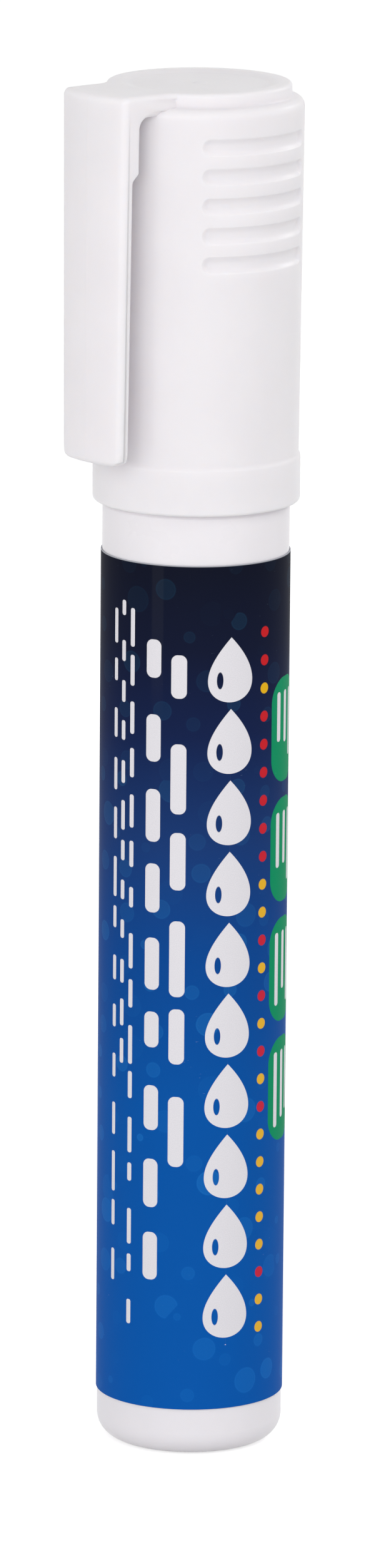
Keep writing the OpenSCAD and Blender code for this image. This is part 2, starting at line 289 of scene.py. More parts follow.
# Shared effects
# Moulded plastic: broad mottling and a fine satin grain over a slow swell
grainLook = {  # noise scales per metre, and how much of each goes into the height
    "mottleScale": 130.0, "grainScale": 5200.0, "swellScale": 210.0, "grainShare": 0.22, "swellShare": 0.9,
}
moulded, gin, gout = newGroup("mouldedGrain", [("Vector", "NodeSocketVector", None)],
                              [("Mottle", "NodeSocketFloat"), ("Height", "NodeSocketFloat")])
mottle = moulded.noise(gin.outputs["Vector"], grainLook["mottleScale"], 4.0)
grain = moulded.noise(gin.outputs["Vector"], grainLook["grainScale"], 2.0)
swell = moulded.noise(gin.outputs["Vector"], grainLook["swellScale"], 2.0)
height = moulded.maths("ADD", moulded.maths("MULTIPLY", grain, grainLook["grainShare"]),
                       moulded.maths("MULTIPLY", swell, grainLook["swellShare"]))
moulded.put(gout.inputs["Mottle"], mottle)
moulded.put(gout.inputs["Height"], height)
mouldedGrain = moulded.tree

# A column of word-long plain bars: bars follow each other down the label, each as long as its cell says
column, cin, cout = newGroup(
    "barColumn",
    [("Across", "NodeSocketFloat", 0.0), ("Along", "NodeSocketFloat", 0.0), ("Centre", "NodeSocketFloat", 0.0),
     ("Half Width", "NodeSocketFloat", 1.0), ("Pitch", "NodeSocketFloat", 6.0),
     ("Shortest", "NodeSocketFloat", 0.5), ("Gap", "NodeSocketFloat", 1.0), ("Start", "NodeSocketFloat", 0.0),
     ("End", "NodeSocketFloat", 70.0), ("Seed", "NodeSocketFloat", 0.0)],
    [("Mask", "NodeSocketFloat")])
cell = column.maths("FLOOR", column.maths("DIVIDE", cin.outputs["Along"], cin.outputs["Pitch"]))
within = column.maths("SUBTRACT", cin.outputs["Along"], column.maths("MULTIPLY", cell, cin.outputs["Pitch"]))
pick = column.add("ShaderNodeTexWhiteNoise", noise_dimensions="1D")
column.put(pick.inputs["W"], column.maths("ADD", cell, cin.outputs["Seed"]))
room = column.maths("SUBTRACT", cin.outputs["Pitch"], cin.outputs["Gap"])
share = column.maths("ADD", cin.outputs["Shortest"], column.maths(
    "MULTIPLY", pick.outputs["Value"], column.maths("SUBTRACT", 1.0, cin.outputs["Shortest"])))
halfLong = column.maths("MULTIPLY", column.maths("MULTIPLY", room, share), 0.5)
barRounding = 0.85  # corner radius over half width
corner = column.maths("MULTIPLY", cin.outputs["Half Width"], barRounding)
offAcross = column.maths("ABSOLUTE", column.maths("SUBTRACT", cin.outputs["Across"], cin.outputs["Centre"]))
offAlong = column.maths("ABSOLUTE", column.maths("SUBTRACT", within, halfLong))
beyondAcross = column.maths("MAXIMUM", column.maths(
    "SUBTRACT", offAcross, column.maths("SUBTRACT", cin.outputs["Half Width"], corner)), 0.0)
beyondAlong = column.maths("MAXIMUM", column.maths(
    "SUBTRACT", offAlong, column.maths("SUBTRACT", halfLong, corner)), 0.0)
away = column.maths("SQRT", column.maths("ADD", column.maths("MULTIPLY", beyondAcross, beyondAcross),
                                         column.maths("MULTIPLY", beyondAlong, beyondAlong)))
shape = column.span(column.maths("SUBTRACT", away, corner), 0.03, -0.03)
cellTop = column.maths("MULTIPLY", cell, cin.outputs["Pitch"])  # only whole bars are printed
belowStart = column.maths("GREATER_THAN", cellTop, cin.outputs["Start"])
aboveEnd = column.maths("LESS_THAN", column.maths("ADD", cellTop, cin.outputs["Pitch"]), cin.outputs["End"])
column.put(cout.inputs["Mask"], column.maths("MULTIPLY", shape, column.maths("MULTIPLY", belowStart, aboveEnd)))
barColumn = column.tree

# A column of drops with their points up: where s runs 0 to 1 down a drop its half width is s * sqrt(1 - s) over
# the most that this reaches, and an oval window is left open near one side
dropLook = {  # window: aside and half width over the drop's half width, down and half length over its length
    "widest": 0.3849, "windowAside": 0.48, "windowHalf": 0.14, "windowDown": 0.66, "windowLong": 0.13,
}
drops, din, dout = newGroup(
    "dropColumn",
    [("Across", "NodeSocketFloat", 0.0), ("Along", "NodeSocketFloat", 0.0), ("Centre", "NodeSocketFloat", 0.0),
     ("Half Width", "NodeSocketFloat", 1.6), ("Pitch", "NodeSocketFloat", 6.0), ("Length", "NodeSocketFloat", 5.0),
     ("Start", "NodeSocketFloat", 0.0), ("End", "NodeSocketFloat", 70.0)],
    [("Mask", "NodeSocketFloat")])
dropCell = drops.maths("FLOOR", drops.maths("DIVIDE", din.outputs["Along"], din.outputs["Pitch"]))
dropWithin = drops.maths("SUBTRACT", din.outputs["Along"], drops.maths("MULTIPLY", dropCell, din.outputs["Pitch"]))
down = drops.maths("DIVIDE", dropWithin, din.outputs["Length"], clamp=True)
girth = drops.maths("MULTIPLY", drops.maths("DIVIDE", down, dropLook["widest"]),
                    drops.maths("SQRT", drops.maths("SUBTRACT", 1.0, down)))
offCentre = drops.maths("SUBTRACT", din.outputs["Across"], din.outputs["Centre"])
dropEdge = drops.maths("SUBTRACT", drops.maths("MULTIPLY", girth, din.outputs["Half Width"]),
                       drops.maths("ABSOLUTE", offCentre))
solid = drops.span(dropEdge, -0.01, 0.05)
aside = drops.maths("MULTIPLY", din.outputs["Half Width"], dropLook["windowAside"])
windowHalf = drops.maths("MULTIPLY", din.outputs["Half Width"], dropLook["windowHalf"])
windowAcross = drops.maths("DIVIDE", drops.maths("ADD", offCentre, aside), windowHalf)
windowAlong = drops.maths("DIVIDE", drops.maths("SUBTRACT", down, dropLook["windowDown"]), dropLook["windowLong"])
window = drops.maths("ADD", drops.maths("MULTIPLY", windowAcross, windowAcross),
                     drops.maths("MULTIPLY", windowAlong, windowAlong))
solid = drops.maths("MULTIPLY", solid, drops.span(window, 0.85, 1.15))
dropRange = drops.maths("MULTIPLY", drops.maths("GREATER_THAN", din.outputs["Along"], din.outputs["Start"]),
                        drops.maths("LESS_THAN", din.outputs["Along"], din.outputs["End"]))
drops.put(dout.inputs["Mask"], drops.maths("MULTIPLY", solid, dropRange))
dropColumn = drops.tree
print("stage 2: shared node groups built")


# Plastics
plasticLook = {  # the mottling's darker tone and swing of roughness, the part line in metres, the bump
    "darker": 0.955, "smoother": 0.03, "rougher": 0.05, "lineHalf": 0.00011, "lineCore": 0.00004,
    "lineHeight": 1.6, "bumpStrength": 0.55, "bumpDepth": 0.000012,
}


def plasticMaterial(name, colour, roughness, partLine=False, **shaderValues):
    # Moulded plastic: colour and roughness follow the mottling, the bump is the grain, with a part line if asked.
    # The spans run 0 to 1, past what the noise reaches, because a cut-off in roughness shows as an outline.
    look = plasticLook
    material, n, shader = newMaterial(name, **shaderValues)
    where = n.objectSpace()
    effect = placed(n, mouldedGrain, Vector=where)
    darker = tuple(c * look["darker"] for c in colour[:3]) + (1.0,)
    n.put(shader.inputs["Base Color"], n.mix(n.span(effect.outputs["Mottle"], 0.0, 1.0), colour, darker))
    n.put(shader.inputs["Roughness"], n.span(effect.outputs["Mottle"], 0.0, 1.0, roughness - look["smoother"],
                                             roughness + look["rougher"]))
    height = effect.outputs["Height"]
    if partLine:  # the mould's two halves leave a hairline at the front and back
        axes = n.add("ShaderNodeSeparateXYZ")
        n.put(axes.inputs[0], where)
        line = n.span(n.maths("ABSOLUTE", axes.outputs["X"]), look["lineHalf"], look["lineCore"])
        height = n.maths("ADD", height, n.maths("MULTIPLY", line, look["lineHeight"]))
    n.put(shader.inputs["Normal"], n.bump(look["bumpStrength"], look["bumpDepth"], height))
    return material


capPlastic = plasticMaterial(
    "capPolypropylene", (0.915, 0.886, 0.912, 1.0), 0.3, True, Subsurface_Weight=0.85,
    Subsurface_Radius=(1.0, 0.94, 0.88), Subsurface_Scale=0.0009, Specular_IOR_Level=0.12)
barrelPlastic = plasticMaterial(
    "barrelPolypropylene", (0.905, 0.876, 0.906, 1.0), 0.28, False, Subsurface_Weight=0.35,
    Subsurface_Radius=(0.9, 0.84, 0.78), Subsurface_Scale=0.0008, Specular_IOR_Level=0.14)
naturalPlastic = plasticMaterial(
    "naturalPolyethylene", (0.8, 0.825, 0.815, 1.0), 0.44, False, Subsurface_Weight=0.5,
    Subsurface_Radius=(0.9, 0.95, 0.9), Subsurface_Scale=0.0016)


def rubberMaterial():
    # Soft black rubber with a paler bloom in patches.
    material, n, shader = newMaterial("sealRubber", Specular_IOR_Level=0.3, Sheen_Weight=0.25, Sheen_Roughness=0.6)
    where = n.objectSpace()
    bloom = n.noise(where, 700.0, 4.0)
    n.put(shader.inputs["Base Color"], n.mix(n.span(bloom, 0.4, 0.7), srgb(44, 44, 47), srgb(62, 62, 64)))
    n.put(shader.inputs["Roughness"], n.span(bloom, 0.0, 1.0, 0.58, 0.84))
    n.put(shader.inputs["Normal"], n.bump(0.4, 0.00001, n.noise(where, 9000.0, 2.0)))
    return material


def steelMaterial(name, tint, roughness, drawn):
    # Steel with fine marks: along the wire's turns when drawn, else in every direction as tumbling leaves them.
    material, n, shader = newMaterial(name, Metallic=1.0)
    where = n.objectSpace()
    marksPerMetre = (700.0, 700.0, 16000.0) if drawn else (5000.0, 5000.0, 5000.0)
    marks = n.noise(n.stretched(where, marksPerMetre), 1.0, 4.0, 0.6)
    shade = tuple(c * 0.8 for c in tint[:3]) + (1.0,)
    n.put(shader.inputs["Base Color"], n.mix(n.span(marks, 0.35, 0.7), tint, shade))
    n.put(shader.inputs["Roughness"], n.span(marks, 0.0, 1.0, roughness - 0.03, roughness + 0.17))
    n.put(shader.inputs["Normal"], n.bump(0.35, 0.000004, marks))
    return material


def feltMaterial():
    # Bonded fibres that run up the nib, with pale and damp patches.
    material, n, shader = newMaterial("nibFelt", Sheen_Weight=0.5, Sheen_Roughness=0.5, Specular_IOR_Level=0.2)
    where = n.objectSpace()
    fibres = n.noise(n.stretched(where, (9000.0, 9000.0, 900.0)), 1.0, 4.0, 0.65)
    crossing = n.noise(n.stretched(where, (6500.0, 6500.0, 1500.0), (0.4, 0.3, 0.0)), 1.0, 3.0, 0.6)
    patches = n.noise(where, 600.0, 2.0)
    pale = n.mix(n.span(fibres, 0.35, 0.65), (0.86, 0.86, 0.82, 1.0), (0.66, 0.665, 0.62, 1.0))
    damp = n.span(patches, 0.45, 0.75, 0.0, 0.3)
    n.put(shader.inputs["Base Color"], n.mix(damp, pale, (0.7, 0.72, 0.7, 1.0)))
    n.put(shader.inputs["Roughness"], n.span(patches, 0.0, 1.0, 0.95, 0.78))
    height = n.maths("ADD", fibres, n.maths("MULTIPLY", crossing, 0.6))
    n.put(shader.inputs["Normal"], n.bump(0.8, 0.00008, height))
    return material


sealRubber = rubberMaterial()
springSteel = steelMaterial("springSteel", (0.6, 0.61, 0.63, 1.0), 0.26, True)
ballSteel = steelMaterial("ballSteel", (0.68, 0.69, 0.71, 1.0), 0.13, False)
nibFelt = feltMaterial()

# Label print
labelPrint = {
    "height": 78.7,  # label length, and its width round the barrel is 2 pi 8.61
    "girth": 54.1,
    "columns": [  # across is mm round the barrel from the clip side towards +X
        # centre, half width, pitch, shortest, gap, start, end, seed
        (6.1, 0.72, 8.2, 0.5, 1.0, 2.4, 58.0, 11.0),
        (3.7, 0.72, 6.9, 0.5, 1.0, 6.8, 69.2, 27.0),
        (1.4, 0.24, 4.3, 0.45, 0.6, 2.9, 74.6, 5.0),
        (0.3, 0.24, 3.7, 0.45, 0.6, 2.6, 49.0, 19.0),
        (-0.8, 0.24, 4.6, 0.45, 0.6, 2.9, 73.0, 31.0),
        (-21.6, 0.24, 3.0, 0.35, 0.5, 5.9, 72.2, 14.0),
        (-20.5, 0.24, 2.8, 0.35, 0.5, 5.5, 67.3, 41.0),
        (-19.4, 0.24, 3.4, 0.35, 0.5, 6.7, 71.6, 23.0),
        (-18.3, 0.24, 3.2, 0.35, 0.5, 6.3, 60.9, 37.0),
        (-8.6, 0.62, 7.4, 0.4, 0.9, 7.3, 52.0, 9.0),
        (-10.8, 0.62, 6.6, 0.4, 0.9, 6.5, 66.2, 44.0),
    ],
    "drops": [  # centre, half width, pitch, length, start, end
        (10.9, 2.2, 6.6, 6.0, 6.5, 72.7),
        (-14.6, 1.3, 4.7, 4.0, 9.3, 56.5),
    ],
    "panels": (18.4, 2.7, 11.2, 1.0, 1.5, 0.0, 56.1, 2.0),  # as a column
    "panelInset": 1.3,  # the white bars in a panel stay this far from its ends
    "panelLines": (0.32, 0.6, (-1.45, 0.0, 1.45)),  # their half width, shortest, places across
    "dots": (14.6, 0.5, 2.6, 5.2, 72.8),  # centre, radius, pitch, start, end
    "fade": [  # share of the way down, colour
        (0.0, srgb(10, 15, 34)), (0.1, srgb(13, 21, 48)), (0.2, srgb(16, 32, 74)), (0.33, srgb(22, 57, 116)),
        (0.46, srgb(4, 71, 147)), (0.64, srgb(0, 84, 167)), (1.0, srgb(0, 88, 175))],
    "bubbleLight": srgb(40, 112, 150),
    "bubbleGlow": (0.14, 0.42),  # at the top, and from 50 mm down
    "green": srgb(2, 146, 98), "yellow": srgb(246, 190, 20), "red": srgb(214, 34, 38),
    # the last colour here is a painted highlight along the film's top cut edge
    "white": srgb(234, 231, 236), "whiteThin": srgb(226, 224, 229), "cutEdgeHighlight": srgb(226, 228, 236),
    "scratch": srgb(150, 175, 200),
}


def labelMaterial():
    # Printed gloss film: a dark to bright blue fade, soft bubbles, plain white bars and green panels.
    material, n, shader = newMaterial("printedLabelFilm", Coat_Weight=0.1, Coat_Roughness=0.08,
                                      Specular_IOR_Level=0.0)
    uv = n.add("ShaderNodeUVMap", uv_map="labelMap").outputs[0]
    flat = n.stretched(uv, (labelPrint["girth"], labelPrint["height"], 1.0))
    axes = n.add("ShaderNodeSeparateXYZ")
    n.put(axes.inputs[0], flat)
    across = n.maths("SUBTRACT", axes.outputs["X"], labelPrint["girth"] / 2)
    along = n.maths("SUBTRACT", labelPrint["height"], axes.outputs["Y"])  # mm down from the label's top
    fade = n.ramp(n.maths("DIVIDE", along, labelPrint["height"]), labelPrint["fade"])
    bubbles = n.add("ShaderNodeTexVoronoi", {"Scale": 0.27, "Randomness": 0.85}, voronoi_dimensions="2D",
                    feature="F1")
    n.put(bubbles.inputs["Vector"], flat)
    size = n.add("ShaderNodeSeparateColor")
    n.put(size.inputs[0], bubbles.outputs["Color"])
    reach = n.maths("MULTIPLY_ADD", size.outputs[0], 0.24, 0.08)
    disc = n.span(n.maths("SUBTRACT", bubbles.outputs["Distance"], reach), 0.015, -0.015)
    ring = n.span(n.maths("ABSOLUTE", n.maths("SUBTRACT", bubbles.outputs["Distance"], reach)), 0.03, 0.0)
    glow = n.maths("MULTIPLY", n.maths("ADD", n.maths("MULTIPLY", disc, 0.5), n.maths("MULTIPLY", ring, 0.35)),
                   size.outputs[1])
    lighter = n.mix(1.0, fade, labelPrint["bubbleLight"], "ADD")
    glow = n.maths("MULTIPLY", glow, n.span(along, 0.0, 50.0, *labelPrint["bubbleGlow"]))
    ground = n.mix(glow, fade, lighter)

    def printed(rows, shift=0.0):
        # the mask of one or more columns of bars, moved down by shift
        total = None
        further = n.maths("SUBTRACT", along, shift)
        for centre, halfWidth, pitch, shortest, gap, start, end, seed in rows:
            bar = placed(n, barColumn, Across=across, Along=further, Centre=centre, Half_Width=halfWidth,
                         Pitch=pitch, Shortest=shortest, Gap=gap, Start=start, End=end, Seed=seed).outputs[0]
            total = bar if total is None else n.maths("MAXIMUM", total, bar)
        return total

    green = printed([labelPrint["panels"]])
    middle, _, pitch, _, gap, start, end, _ = labelPrint["panels"]
    inset = labelPrint["panelInset"]
    lineHalf, lineShortest, offsets = labelPrint["panelLines"]
    lines = [(middle + off, lineHalf, pitch, lineShortest, gap + 2 * inset, start, end, 50.0 + off)
             for off in offsets]
    white = n.maths("MAXIMUM", printed(labelPrint["columns"]), printed(lines, inset))
    for centre, halfWidth, pitch, length, start, end in labelPrint["drops"]:
        row = placed(n, dropColumn, Across=across, Along=along, Centre=centre, Half_Width=halfWidth,
                     Pitch=pitch, Length=length, Start=start, End=end).outputs[0]
        white = n.maths("MAXIMUM", white, row)
    dotCentre, dotRadius, dotPitch, dotStart, dotEnd = labelPrint["dots"]
    dotCell = n.maths("FLOOR", n.maths("DIVIDE", along, dotPitch))
    dotAlong = n.maths("SUBTRACT", along, n.maths("MULTIPLY", n.maths("ADD", dotCell, 0.5), dotPitch))
    dotAcross = n.maths("SUBTRACT", across, dotCentre)
    dotAway = n.maths("SQRT", n.maths("ADD", n.maths("MULTIPLY", dotAcross, dotAcross),
                                      n.maths("MULTIPLY", dotAlong, dotAlong)))
    dotMask = n.maths("MULTIPLY", n.span(dotAway, dotRadius + 0.04, dotRadius - 0.04), n.maths(
        "MULTIPLY", n.maths("GREATER_THAN", along, dotStart), n.maths("LESS_THAN", along, dotEnd)))
    dotPick = n.add("ShaderNodeTexWhiteNoise", noise_dimensions="1D")
    n.put(dotPick.inputs["W"], dotCell)
    dotColour = n.mix(n.maths("GREATER_THAN", dotPick.outputs["Value"], 0.5), labelPrint["yellow"],
                      labelPrint["red"])
    halftone = n.noise(n.stretched(uv, (5400.0, 7870.0, 1.0)), 0.12, 1.0)
    inkWhite = n.mix(n.span(halftone, 0.3, 0.7), labelPrint["white"], labelPrint["whiteThin"])
    colour = n.mix(green, ground, labelPrint["green"])
    colour = n.mix(n.maths("MULTIPLY", dotMask, 0.9), colour, dotColour)
    colour = n.mix(white, colour, inkWhite)
    cutEdgeHighlight = n.maths("MULTIPLY", n.span(along, 0.14, 0.04), 0.6)  # a painted highlight: a pale line along the film's cut edge at the top
    colour = n.mix(cutEdgeHighlight, colour, labelPrint["cutEdgeHighlight"])
    scratch = n.noise(n.stretched(flat, (0.5, 3.2, 1.0), (0.0, 0.0, 0.5)), 3.0, 2.0)
    spots = n.span(n.noise(flat, 0.16, 3.0), 0.5, 0.64)
    fine = n.maths("MULTIPLY", n.span(scratch, 0.73, 0.78), spots)
    n.put(shader.inputs["Base Color"], n.mix(n.maths("MULTIPLY", fine, 0.35), colour, labelPrint["scratch"]))
    n.put(shader.inputs["Roughness"], n.maths("ADD", n.span(n.noise(flat, 0.3, 3.0), 0.0, 1.0, 0.17, 0.33),
                                              n.maths("MULTIPLY", fine, 0.25)))
    wave = n.noise(n.stretched(flat, (0.1, 0.035, 1.0)), 1.0, 2.0)
    height = n.maths("SUBTRACT", n.maths("ADD", wave, n.maths("MULTIPLY", white, 0.02)),
                     n.maths("MULTIPLY", fine, 0.05))
    n.put(shader.inputs["Normal"], n.bump(0.35, 0.00004, height))
    return material


labelFilm = labelMaterial()
print("stage 3: materials built")

# Barrel
barrel = {
    "radius": 8.5, "baseRound": 2.1, "stepHeight": 87.6, "stepRadius": 8.3, "shoulder": 91.0, "neckRadius": 7.8,
    "beadHeight": 95.0, "beadProud": 0.1, "top": 99.0, "cavityRadius": 7.0, "floor": 1.6, "columns": 160,
}


def barrelPiece():
    # One profile turned about Z: the rounded base, wall, step, neck with its bead, mouth and the inside.
    b = barrel
    bead = b["neckRadius"] + b["beadProud"]
    path = roundedPath([
        (0, 0, 0), (b["radius"], 0, b["baseRound"]), (b["radius"], b["stepHeight"] - 0.15, 0.3),
        (b["stepRadius"], b["stepHeight"] + 0.25, 0.3), (b["stepRadius"], b["shoulder"], 0.15),
        (b["neckRadius"], b["shoulder"], 0.12), (b["neckRadius"], b["beadHeight"] - 0.6, 0.25),
        (bead, b["beadHeight"] - 0.2, 0.25), (bead, b["beadHeight"] + 0.2, 0.25),
        (b["neckRadius"], b["beadHeight"] + 0.6, 0.25), (b["neckRadius"], b["top"], 0.12),
        (b["cavityRadius"], b["top"], 0.1), (b["cavityRadius"], b["floor"], 1.26), (0, b["floor"], 0)])
    points, faces = turned(path, np.linspace(0, 2 * np.pi, b["columns"], endpoint=False))
    return makeMesh("barrelShell", points, faces)


finishPiece(barrelPiece(), barrelPlastic, "pen", "white_plastic", "barrel")

# Label
label = {"inside": 8.53, "outside": 8.61, "low": 4.6, "high": 83.3, "seam": 0.4, "columns": 220}


def labelPiece():
    # A film's thin cross-section carried round Z from one edge of its seam to the other, closed at both edges.
    w = label
    section = roundedPath([(w["inside"], w["low"], 0.015), (w["outside"], w["low"], 0.03),
                           (w["outside"], w["high"], 0.03), (w["inside"], w["high"], 0.015)], closed=True,
                          step=lambda p: 4.0)
    half = np.pi - w["seam"] / 2 / w["outside"]
    angles = np.linspace(-half, half, w["columns"])
    points = aroundAxis(section, angles - np.pi / 2)  # angle 0 is the clip side, -Y
    faces = [gridFaces(len(section), len(angles), closeRows=True)]
    rows = np.arange(len(section)) * len(angles)
    faces += [rows[None, :], (rows + len(angles) - 1)[None, ::-1]]
    piece = makeMesh("wrapLabel", points.reshape(-1, 3), faces)
    around = np.broadcast_to(0.5 + angles / (2 * np.pi), points.shape[:2]).ravel()
    upward = ((points[..., 2] - w["low"]) / (w["high"] - w["low"])).ravel()
    layer = piece.data.uv_layers.new(name="labelMap")
    corner = np.empty(len(piece.data.loops), np.int32)
    piece.data.loops.foreach_get("vertex_index", corner)
    layer.data.foreach_set("uv", np.stack([around, upward], -1)[corner].astype(np.float32).ravel())
    return piece


finishPiece(labelPiece(), labelFilm, "pen", "label_film", "label")

# Cap
cap = {
    "rim": 87.9, "rimRound": 0.3, "collarRadius": 9.41, "collarTop": 92.2, "lowRadius": 9.25, "topRadius": 9.5,
    "shoulder": 124.7, "shoulderRound": 0.84, "footRound": 0.28, "plateauRadius": 8.35, "top": 126.0,
    "plateauRound": 0.35, "dishRadius": 7.1, "dishDepth": 0.22, "nubRadius": 0.75, "nubHeight": 0.13,
    "rimBore": 8.38, "boreStep": 91.02, "bore": 7.98, "roofChamfer": 122.32, "roofRadius": 6.95, "roof": 124.35,
}
grooves = {
    "first": 121.33, "count": 5, "pitch": 2.65, "width": 1.5, "depth": 0.36, "halfArc": 38.0, "soft": 0.035,
    "power": 1.35, "margin": 1.15, "rows": 0.088,
}


def grooveDepth(angle, height):
    # How deep the grip grooves are at an angle and height: depth * (1 - (d * d) ^ power), where d is the distance
    # to a groove's middle line over half its width, eased to 0 at the edges. A groove's ends are half rounds.
    g = grooves
    degrees = np.abs((np.degrees(angle) + 180) % 360 - 180)
    sideways = np.minimum(degrees, 180 - degrees)
    arc = np.radians(sideways) * cap["topRadius"]
    half = g["width"] / 2
    past = np.maximum(arc - (np.radians(g["halfArc"]) * cap["topRadius"] - half), 0)
    middles = g["first"] - g["pitch"] * np.arange(g["count"])
    off = np.min(np.abs(height[..., None] - middles), -1)
    rise = g["depth"] * (1 - ((past ** 2 + off ** 2) / half ** 2) ** g["power"])
    return 0.5 * (rise + np.sqrt(rise ** 2 + g["soft"] ** 2)) * (rise > -0.5)


def capAngles():
    # Turns round the cap: close together where grooves end, wider elsewhere.
    coarse = np.linspace(-28, 28, 36)
    fine = np.linspace(28, 40, 34)[1:]
    rest = np.linspace(40, 140, 52)[1:-1]
    quarter = np.concatenate([-fine[::-1], coarse, fine])
    return np.radians(np.concatenate([quarter, rest, quarter + 180, rest + 180]))


def capBody():
    # The cap's whole outside and inside as one profile turned about Z, pressed in where the grooves are.
    c = cap
    floor = c["top"] - c["dishDepth"]
    grooveTop = grooves["first"] + grooves["margin"]
    grooveLow = grooves["first"] - (grooves["count"] - 1) * grooves["pitch"] - grooves["margin"]

    def wallPoint(height):
        # a place on the cap's slightly conical wall
        share = (height - c["collarTop"] - 0.12) / (c["shoulder"] - c["collarTop"] - 0.12)
        return (c["lowRadius"] + (c["topRadius"] - c["lowRadius"]) * share, height, 0)

    top = c["top"] - 0.004  # a hair under the bridge, which covers it
    path = roundedPath([
        (0, floor + c["nubHeight"], 0), (c["nubRadius"] * 0.4, floor + c["nubHeight"], 0.3),
        (c["nubRadius"], floor, 0.35), (c["dishRadius"] - 0.9, floor, 1.6), (c["dishRadius"], top, 1.2),
        (c["plateauRadius"], top, c["plateauRound"]), (c["plateauRadius"], c["shoulder"], c["footRound"]),
        (c["topRadius"], c["shoulder"], c["shoulderRound"]), wallPoint(grooveTop), wallPoint(grooveLow),
        (c["lowRadius"], c["collarTop"] + 0.12, 0.5),
        (c["collarRadius"], c["collarTop"] - 0.14, 0.4), (c["collarRadius"], c["rim"], c["rimRound"]),
        (c["rimBore"], c["rim"], 0.2), (c["rimBore"], c["boreStep"], 0.05), (c["bore"], c["boreStep"], 0.1),
        (c["bore"], c["roofChamfer"], 0.3), (c["roofRadius"], c["roofChamfer"] + 1.03, 0.3),
        (c["roofRadius"], c["roof"], 0.1), (0, c["roof"], 0)],
        step=lambda p: grooves["rows"] if p[0] > 9.0 and grooveLow < p[1] < grooveTop else 6.0)

    def pressed(radius, height, angles):
        # only the outside above the collar takes the grooves
        outer = (radius > 9.0) & (height > c["collarTop"] + 0.2)
        return radius - np.where(outer, grooveDepth(angles, height), 0), height

    return turned(path, capAngles(), pressed)


clip = {
    "outer": 13.04, "inner": 11.85, "root": 11.2, "rootHeight": 118.3, "end": 92.6, "bridge": 124.0, "top": 126.0,
    "start": 7.6, "arch": 1.0, "halfTop": 4.45, "halfEnd": 4.05, "corner": 0.9, "edge": 0.5, "flare": 0.7,
    "edgeSteps": 7, "middleSteps": 26,
}


def clipBody():
    # The clip's side profile carried across its width on circles about Z. Near each long edge the profile is
    # drawn in by r(1 - cos a) as it moves out by r sin a, which rounds the edge; the width narrows to the end,
    # rounds its two corners and flares where the bridge leaves the cap's top.
    k = clip
    path = roundedPath([
        (k["start"], k["bridge"], 0), (k["root"], k["bridge"], k["arch"]),
        (k["root"], k["rootHeight"] + 0.65, 0.5), (k["inner"], k["rootHeight"], 0.5), (k["inner"], k["end"], 0.42),
        (k["outer"], k["end"], 0.5), (k["outer"], k["top"], 0.62), (k["start"], k["top"], 0)], closed=True,
        step=lambda p: 0.16 if p[1] < 93.8 else (0.2 if p[0] < 10.2 else 0.7))
    along = np.roll(path, -1, 0) - np.roll(path, 1, 0)
    normal = np.stack([along[:, 1], -along[:, 0]], -1)
    normal /= np.linalg.norm(normal, axis=1)[:, None]
    ahead = np.roll(path, -1, 0)
    anticlockwise = np.sum(path[:, 0] * ahead[:, 1] - ahead[:, 0] * path[:, 1]) > 0
    inward = -normal if anticlockwise else normal
    half = k["halfEnd"] + (k["halfTop"] - k["halfEnd"]) * (path[:, 1] - k["end"]) / (k["top"] - k["end"])
    low = np.clip(k["corner"] - (path[:, 1] - k["end"]), 0, k["corner"])
    half = half - k["corner"] + np.sqrt(k["corner"] ** 2 - low ** 2)
    near = np.clip((cap["plateauRadius"] + k["flare"] - path[:, 0]) / k["flare"], 0, 1)
    half = half + k["flare"] * (1 - np.sqrt(1 - near ** 2))
    swing = np.linspace(0, np.pi / 2, k["edgeSteps"] + 1)[1:]
    edgeOut, edgeIn = k["edge"] * np.sin(swing), k["edge"] * (1 - np.cos(swing))
    ends, flat = np.ones(k["edgeSteps"]), np.zeros(k["middleSteps"])
    side = np.concatenate([-ends, np.linspace(-1, 1, k["middleSteps"]), ends])
    out = np.concatenate([-edgeOut[::-1], flat, edgeOut])
    draw = np.concatenate([edgeIn[::-1], flat, edgeIn])
    across = side[None, :] * (half - k["edge"])[:, None] + out[None, :]
    drawn = path[:, None, :] + inward[:, None, :] * draw[None, :, None]
    radius, height = drawn[..., 0], drawn[..., 1]
    points = np.stack([across, -np.sqrt(radius ** 2 - across ** 2), height], -1)
    rows, columns = points.shape[:2]
    faces = [gridFaces(rows, columns, closeRows=True)]
    edge = np.arange(rows) * columns
    faces += [edge[None, :], (edge + columns - 1)[None, ::-1]]
    return points.reshape(-1, 3), faces


def joinedCap():
    # The clip and the body become one skin, so light inside the plastic meets no hidden walls.
    body, leaf = makeMesh("capShell", *capBody()), makeMesh("clipLeaf", *clipBody())
    faceOutward(body)
    faceOutward(leaf)
    union = body.modifiers.new("joined", "BOOLEAN")
    union.operation, union.solver, union.object = "UNION", "MANIFOLD", leaf
    joined = bpy.data.meshes.new_from_object(body.evaluated_get(bpy.context.evaluated_depsgraph_get()))
    body.modifiers.clear()
    body.data = joined
    joined.materials.clear()
    joined.set_sharp_from_angle(angle=np.radians(32))
    bpy.data.objects.remove(leaf)
    return body


capPiece = joinedCap()
finishPiece(capPiece, capPlastic, "capped_end", "cap_plastic", "cap")
print("stage 4: cap has", len(capPiece.data.loops) - 2 * len(capPiece.data.polygons), "triangles")

# Nib holder, nib, spring
holder = {
    "skirt": 6.97, "skirtInside": 6.07, "low": 93.0, "flange": 7.78, "flangeLow": 99.0, "flangeTop": 100.2,
    "coneFoot": 6.97, "nozzle": 4.3, "nozzleLow": 107.0, "nozzleTop": 112.5, "bore": 2.58, "boreLow": 108.2,
    "coneInside": 3.38, "coneInsideFoot": 4.57, "coneInsideLow": 101.4, "seat": 5.47, "seatHeight": 99.6,
    "columns": 128,
}


